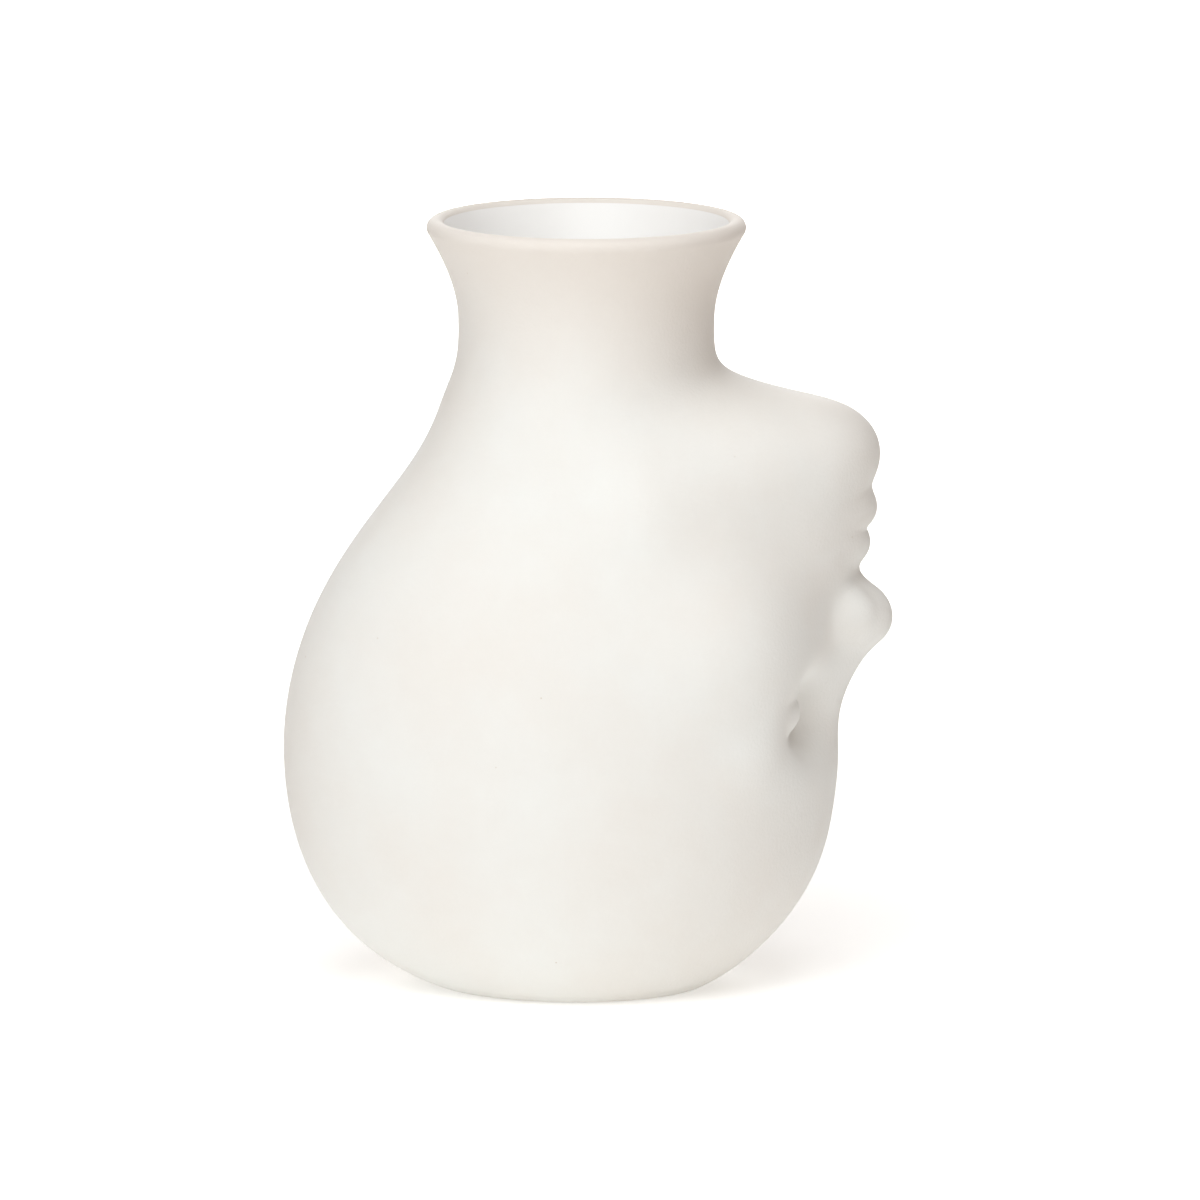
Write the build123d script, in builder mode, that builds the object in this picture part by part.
from build123d import *
import os
import numpy as np

# A white porcelain vase in the form of an upturned head: the crown is the foot,
# the neck is the mouth. +Z is up, the face looks along +X, and the origin lies
# on the neck's axis in the plane of the table. Lengths are in millimetres.

# Main sizes of the vase
HEAD_HEIGHT = 188.0
NECK_RISE = 28.0
COLLAR_HEIGHT = 33.2
SLIP_THICKNESS = 0.8
WAIST_RADIUS = 41.3
RIM_RADIUS = 51.5
LIP_RADIUS = 3.0
FLARE_ANGLE = 30.0
WALL = 5.0
NECK_BLEND = 28.0

# Foot and its four pads
FOOT_CENTRE_X = -3.0
FOOT_ROUNDING = 70.0
FOOT_SINK = 9.6
PAD_NAMES = ("front_left", "back_left", "back_right", "front_right")
PAD_CIRCLE = 26.0
PAD_RADIUS = 5.0
PAD_PROUD = 0.5
POCKET_DEPTH = 1.0
POCKET_CLEARANCE = 0.3

# Skull, measured from the origin: centre and half sizes
SKULL_CENTRE = (-12.0, 0.0, 77.0)
SKULL_SIZE = (85.7, 66.0, 94.3)
SKULL_TO_NECK = 79.0

# The face stands in its own axes at the chin point: forward, across, and down
# towards the chin, so places up the face are negative. It follows the canon of
# three equal thirds, with eyes one width apart.
CHIN_FORWARD = 96.0
FACE_TILT = 9.0
FACE_THIRD = 58.0
EYE_WIDTH = 28.5
MOUTH_LINE = -FACE_THIRD * 2 / 3
NOSE_BASE = -FACE_THIRD
EYE_LINE = -FACE_THIRD * 1.7
BROW_LINE = -FACE_THIRD * 2

# Large masses of the face: centre and half sizes, or ends and end radii
FOREHEAD = ((-58.0, 0.0, BROW_LINE - 20.0), (55.0, 52.0, 50.0))
MASK = ((-56.0, 0.0, NOSE_BASE - 18.0), (48.0, 50.0, 68.0))
JAW = ((-24.0, 12.0, -20.0), (-72.0, 36.0, -40.0), 13.0, 15.0)
JAW_FLOOR = ((-52.0, 0.0, -19.0), (46.0, 36.0, 20.0))
CHIN = ((-14.5, 0.0, -16.0), (14.5, 18.0, 13.0))
MUZZLE = ((-29.0, 0.0, MOUTH_LINE - 7.3), (27.5, 31.0, 28.0))
CHEEK = ((-44.0, 37.0, NOSE_BASE - 22.0), (22.0, 20.0, 20.0))

# Brow and eye, given for the left side
BROW = ((-15.0, 7.0, BROW_LINE - 1.0), (-30.0, 42.0, BROW_LINE + 4.0), 9.0, 9.0)
SOCKET = ((1.0, EYE_WIDTH, EYE_LINE + 0.6), (20.0, 18.0, 13.5))
UPPER_LID = ((-27.0, EYE_WIDTH, EYE_LINE), (15.0, 16.5, 10.0))
LOWER_LID = ((-27.5, EYE_WIDTH, EYE_LINE + 7.5), (13.5, 15.0, 7.0))

# Nose, with the wing given for the left side
BRIDGE = ((-17.0, 0.0, EYE_LINE - 8.0), (4.0, 0.0, NOSE_BASE - 12.0), 7.5, 7.5)
NOSE_TIP = ((4.0, 0.0, NOSE_BASE - 9.5), (8.5, 9.5, 7.5))
NOSE_WING = ((-5.0, 10.5, NOSE_BASE - 7.0), (11.0, 6.0, 7.5))
SEPTUM = ((3.0, 0.0, NOSE_BASE - 6.0), (-6.0, 0.0, NOSE_BASE), 5.0, 5.5)

# Lips: a bent, tapering roll each, from the middle to the shared corner
MOUTH_HALF_WIDTH = 29.0
MOUTH_BEND = 19.0
CORNER_RADIUS = 1.4
UPPER_LIP = (-3.6, MOUTH_LINE - 6.0, 6.2)
LOWER_LIP = (-4.0, MOUTH_LINE + 5.6, 7.0)

# How far the masses of the face melt into each other
SOFT = 36.0
FIRM = 18.0
CRISP = 10.0
FINE = 6.0
CREASE = 1.8

# Sections through the head: points round each one, and how many there are up the
# foot, the head, the chin and the neck. The inside of the wall is the smoother.
OUTSIDE_COLUMNS = 96
OUTSIDE_COUNTS = (8, 36, 14, 4)
INSIDE_COLUMNS = 60
INSIDE_COUNTS = (6, 26, 12, 4)
FACE_BUNCHING = 0.55
FOOT_BAND = 34.0
CHIN_BAND = 18.0
CAVITY_OVERRUN = 3.0
SEARCH_RADIUS = 140.0
SEARCH_STEPS = 80
HALVINGS = 30

foot_level = PAD_PROUD
seam_level = HEAD_HEIGHT + NECK_RISE
collar_level = seam_level + SLIP_THICKNESS
rim_level = collar_level + COLLAR_HEIGHT


def round_min(a, b, reach):
    """Join two forms with a soft inner corner."""
    overlap = np.maximum(reach - np.abs(a - b), 0) / reach
    return np.minimum(a, b) - overlap**3 * reach / 6


def round_max(a, b, reach):
    """Cut one form by another with a soft outer corner."""
    return -round_min(-a, -b, reach)


def ball(p, centre, size):
    """Distance to an egg-shaped mass, about right near its surface."""
    q = [(p[i] - centre[i]) / size[i] for i in range(3)]
    level = np.sqrt(q[0] ** 2 + q[1] ** 2 + q[2] ** 2)
    slope = np.sqrt(sum((q[i] / size[i]) ** 2 for i in range(3)))
    return level * (level - 1) / np.maximum(slope, 1e-9)


def roll(p, start, end, start_radius, end_radius):
    """Distance to a tapering roll with round ends."""
    run = [end[i] - start[i] for i in range(3)]
    along = sum((p[i] - start[i]) * run[i] for i in range(3)) / sum(r * r for r in run)
    along = np.clip(along, 0, 1)
    away = np.sqrt(sum((p[i] - start[i] - along * run[i]) ** 2 for i in range(3)))
    return away - (start_radius + (end_radius - start_radius) * along)


def lip(p, forward, height, radius):
    """Distance to a lip that bends back and tapers to the corners of the mouth."""
    share = np.clip(np.abs(p[1]) / MOUTH_HALF_WIDTH, 0, 1) ** 2
    beyond = np.maximum(np.abs(p[1]) - MOUTH_HALF_WIDTH, 0)
    middle = (forward - MOUTH_BEND * share, height + (MOUTH_LINE - height) * share)
    away = np.sqrt((p[0] - middle[0]) ** 2 + (p[2] - middle[1]) ** 2 + beyond**2)
    return away - (radius + (CORNER_RADIUS - radius) * share)


def both_sides(form, p, sizes, reach):
    """The same form on the left and on the right of the face."""
    return round_min(form(p, *sizes), form((p[0], -p[1], p[2]), *sizes), reach)


def face_axes(p):
    """Places in the face's own axes."""
    tilt = np.radians(FACE_TILT)
    x, z = p[0] - CHIN_FORWARD, p[2] - HEAD_HEIGHT
    return x * np.cos(tilt) - z * np.sin(tilt), p[1], x * np.sin(tilt) + z * np.cos(tilt)


def face_form(d, f):
    """Build the face up on the skull, from the large masses to the small ones."""
    d = round_min(d, ball(f, *FOREHEAD), SOFT)
    d = round_min(d, ball(f, *MASK), SOFT)
    d = round_min(d, both_sides(roll, f, JAW, FIRM), SOFT)
    d = round_min(d, ball(f, *JAW_FLOOR), FIRM)
    d = round_min(d, ball(f, *CHIN), FIRM)
    d = round_min(d, ball(f, *MUZZLE), FIRM)
    d = round_min(d, both_sides(ball, f, CHEEK, FIRM), SOFT)
    d = round_min(d, both_sides(roll, f, BROW, FIRM), FIRM)
    d = round_max(d, -both_sides(ball, f, SOCKET, CRISP), FIRM)
    upper_lids = both_sides(ball, f, UPPER_LID, CRISP)
    lower_lids = both_sides(ball, f, LOWER_LID, CRISP)
    lids = round_min(upper_lids, lower_lids, CREASE)
    d = round_min(d, lids, FINE)
    d = round_min(d, roll(f, *BRIDGE), FIRM)
    d = round_min(d, ball(f, *NOSE_TIP), CRISP)
    d = round_min(d, both_sides(ball, f, NOSE_WING, CRISP), CRISP)
    d = round_min(d, roll(f, *SEPTUM), CRISP)
    lips = round_min(lip(f, *UPPER_LIP), lip(f, *LOWER_LIP), CREASE)
    return round_min(d, lips, FINE)


def head_form(p):
    """Signed distance to the outside of the head, neck and flat foot."""
    neck = np.hypot(p[0], p[1]) - WAIST_RADIUS
    d = round_min(ball(p, SKULL_CENTRE, SKULL_SIZE), neck, SKULL_TO_NECK)
    d = face_form(d, face_axes(p))
    return round_max(d, foot_level - FOOT_SINK - p[2], FOOT_ROUNDING)


def directions(columns):
    """Directions round the neck's axis from the back, closer together on the face."""
    turn = np.pi + np.linspace(0, 2 * np.pi, columns, endpoint=False)
    return turn - FACE_BUNCHING * np.sin(turn)


def head_radii(heights, depth, columns):
    """Distances from the neck's axis to the form, a row for each height, at a depth below its skin."""
    height, turn = np.meshgrid(heights, directions(columns), indexing="ij")

    def inside(radius):
        return head_form((radius * np.cos(turn), radius * np.sin(turn), height)) < -depth

    step = SEARCH_RADIUS / SEARCH_STEPS
    low = np.zeros_like(height)
    for i in range(SEARCH_STEPS):
        low = np.where(inside(np.full_like(height, i * step)), i * step, low)
    high = low + step
    for _ in range(HALVINGS):
        middle = (low + high) / 2
        within = inside(middle)
        low, high = np.where(within, middle, low), np.where(within, high, middle)
    share = np.clip((height - seam_level + NECK_BLEND) / NECK_BLEND, 0, 1)
    to_circle = share**3 * (share * (6 * share - 15) + 10)
    return low + (WAIST_RADIUS - depth - low) * to_circle


def section_levels(depth, counts, overrun):
    """Heights of the sections, close together at the foot and under the chin."""
    start = foot_level + depth
    chin_start, chin_end = HEAD_HEIGHT - CHIN_BAND, HEAD_HEIGHT + CHIN_BAND
    foot = start + FOOT_BAND * np.linspace(0, 1, counts[0], endpoint=False) ** 2
    head = np.linspace(start + FOOT_BAND, chin_start, counts[1], endpoint=False)
    chin = np.linspace(chin_start, chin_end, counts[2], endpoint=False)
    neck = np.linspace(chin_end, seam_level, counts[3])
    above = [seam_level + overrun] if overrun else []
    return np.concatenate([foot, head, chin, neck, above])


def head_sections(depth, columns, counts, overrun):
    """Heights and closed curves up the head, all with the same spacing of their points."""
    turns = directions(columns)
    spacing = [i / columns for i in range(columns + 1)]
    heights = section_levels(depth, counts, overrun)
    sections = []
    for height, radii in zip(heights, head_radii(heights, depth, columns)):
        points = [Vector(r * np.cos(a), r * np.sin(a), 0) for r, a in zip(radii, turns)]
        sections.append((height, Edge.make_spline(points, periodic=True, parameters=spacing)))
    return sections


# Flared collar: a revolved wall between two bent lines, closed by a round lip
lip_centre = (RIM_RADIUS - LIP_RADIUS, rim_level - LIP_RADIUS)
flare = (np.sin(np.radians(FLARE_ANGLE)), np.cos(np.radians(FLARE_ANGLE)))
outer_end = (lip_centre[0] + LIP_RADIUS * flare[1], lip_centre[1] - LIP_RADIUS * flare[0])
inner_end = (lip_centre[0] - LIP_RADIUS * flare[1], lip_centre[1] + LIP_RADIUS * flare[0])

with BuildPart() as neck_collar:
    with BuildSketch(Plane.XZ):
        with BuildLine():
            Spline((WAIST_RADIUS, collar_level), outer_end, tangents=((0, 1), flare))
            Line((WAIST_RADIUS - WALL, collar_level), (WAIST_RADIUS, collar_level))
            Spline((WAIST_RADIUS - WALL, collar_level), inner_end, tangents=((0, 1), flare))
            CenterArc(lip_centre, LIP_RADIUS, -FLARE_ANGLE, 180)
        make_face()
    revolve(axis=Axis.Z)
neck_collar.part.label = "neck_collar"

# Ring of joining slip between the two flat faces of the seam
with BuildPart() as luting_slip:
    with BuildSketch(Plane.XY.offset(seam_level)):
        Circle(WAIST_RADIUS)
        Circle(WAIST_RADIUS - WALL, mode=Mode.SUBTRACT)
    extrude(amount=SLIP_THICKNESS)
luting_slip.part.label = "luting_slip"

# Cast head: one wall all round, with a pocket under the foot for each pad
pad_places = PolarLocations(PAD_CIRCLE, len(PAD_NAMES), start_angle=180 / len(PAD_NAMES))

with BuildPart() as head_shell:
    for height, curve in head_sections(0, OUTSIDE_COLUMNS, OUTSIDE_COUNTS, 0):
        with BuildSketch(Plane.XY.offset(height)):
            with BuildLine():
                add(curve)
            make_face()
    loft()
    for height, curve in head_sections(WALL, INSIDE_COLUMNS, INSIDE_COUNTS, CAVITY_OVERRUN):
        with BuildSketch(Plane.XY.offset(height)):
            with BuildLine():
                add(curve)
            make_face()
    loft(mode=Mode.SUBTRACT)
    with BuildSketch(Plane((FOOT_CENTRE_X, 0, foot_level))):
        with pad_places:
            Circle(PAD_RADIUS + POCKET_CLEARANCE)
    extrude(amount=POCKET_DEPTH, mode=Mode.SUBTRACT)
head_shell.part.label = "head_shell"

pieces = [head_shell.part, neck_collar.part, luting_slip.part]

# Foot pads, seated against the tops of their pockets
for name, place in zip(PAD_NAMES, pad_places.locations):
    centre = (FOOT_CENTRE_X + place.position.X, place.position.Y, 0)
    with BuildPart() as foot_pad:
        with BuildSketch(Plane(centre)):
            Circle(PAD_RADIUS)
        extrude(amount=PAD_PROUD + POCKET_DEPTH)
    foot_pad.part.label = f"foot_pad_{name}"
    pieces.append(foot_pad.part)

os.makedirs("parts", exist_ok=True)
for piece in pieces:
    export_step(piece, f"parts/{piece.label}.step")
    size = piece.bounding_box().size
    print(f"{piece.label}: {piece.volume / 1000:.1f} cm3, {size.X:.1f} x {size.Y:.1f} x {size.Z:.1f} mm")
